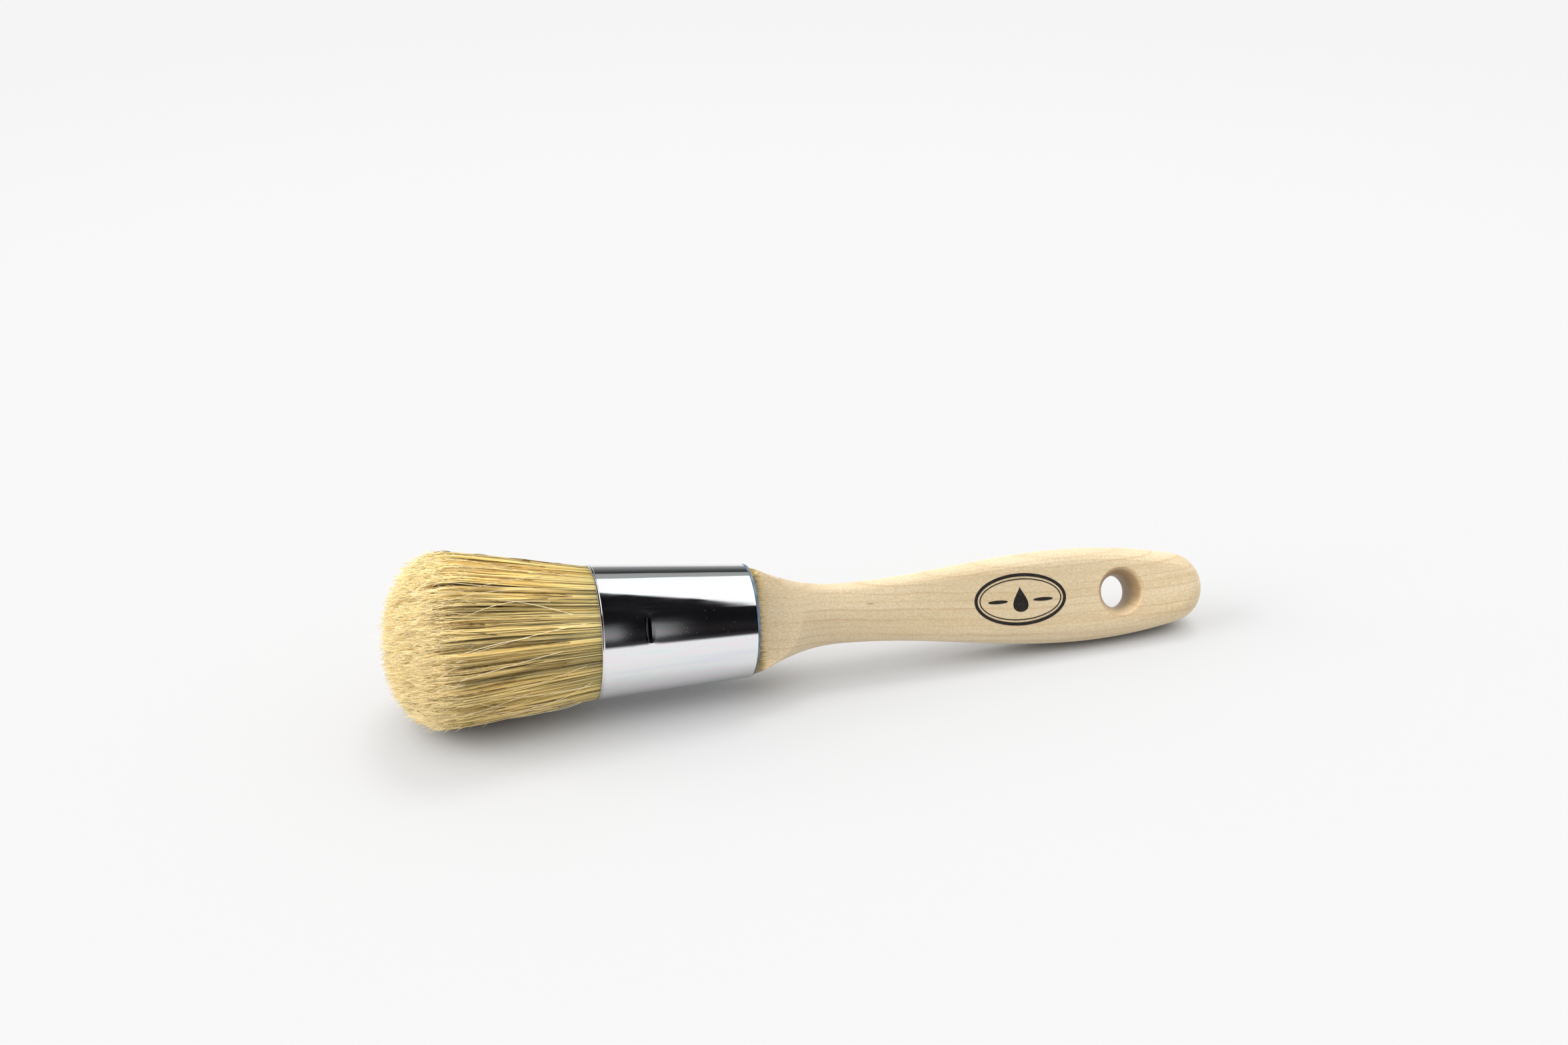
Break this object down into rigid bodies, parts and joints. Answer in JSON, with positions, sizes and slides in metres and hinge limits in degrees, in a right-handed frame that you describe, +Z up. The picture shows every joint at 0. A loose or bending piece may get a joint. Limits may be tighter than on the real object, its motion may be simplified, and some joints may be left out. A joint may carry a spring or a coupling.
{
  "type": "round stencil brush",
  "caption": "Round stencil brush: a domed head of pale natural bristle in a tapered chrome ferrule, on a flat wooden paddle handle with a hanging hole.",
  "frame": {"origin": "centre of the bounding box at floor level, with the brush lying on its bristles and on the lower edge of its handle", "axes": "+X along the brush from the bristle tips towards the tail of the handle, +Z up, printed face turned towards -Y and leaning back 29 degrees. The brush axis dips about 3.8 degrees below +X towards the tail."},
  "size_m": [0.2532, 0.054, 0.0543],
  "materials": {
    "bristle": "natural hog bristle, satin, pale at the flagged tips",
    "resin": "cured setting resin round the bristle roots",
    "chrome_plate": "bright chrome plate on thin sheet steel",
    "adhesive": "blue-grey adhesive, smooth, slightly glossy",
    "bare_wood": "pale close-grained hardwood, sanded and unvarnished",
    "ink": "matt black printing ink"
  },
  "bodies": {
    "root": {"bristle_bundle": "bristle", "resin_plug": "resin", "ferrule": "chrome_plate", "handle_adhesive": "adhesive", "handle": "bare_wood", "printed_mark": "ink"}
  },
  "joints": []
}
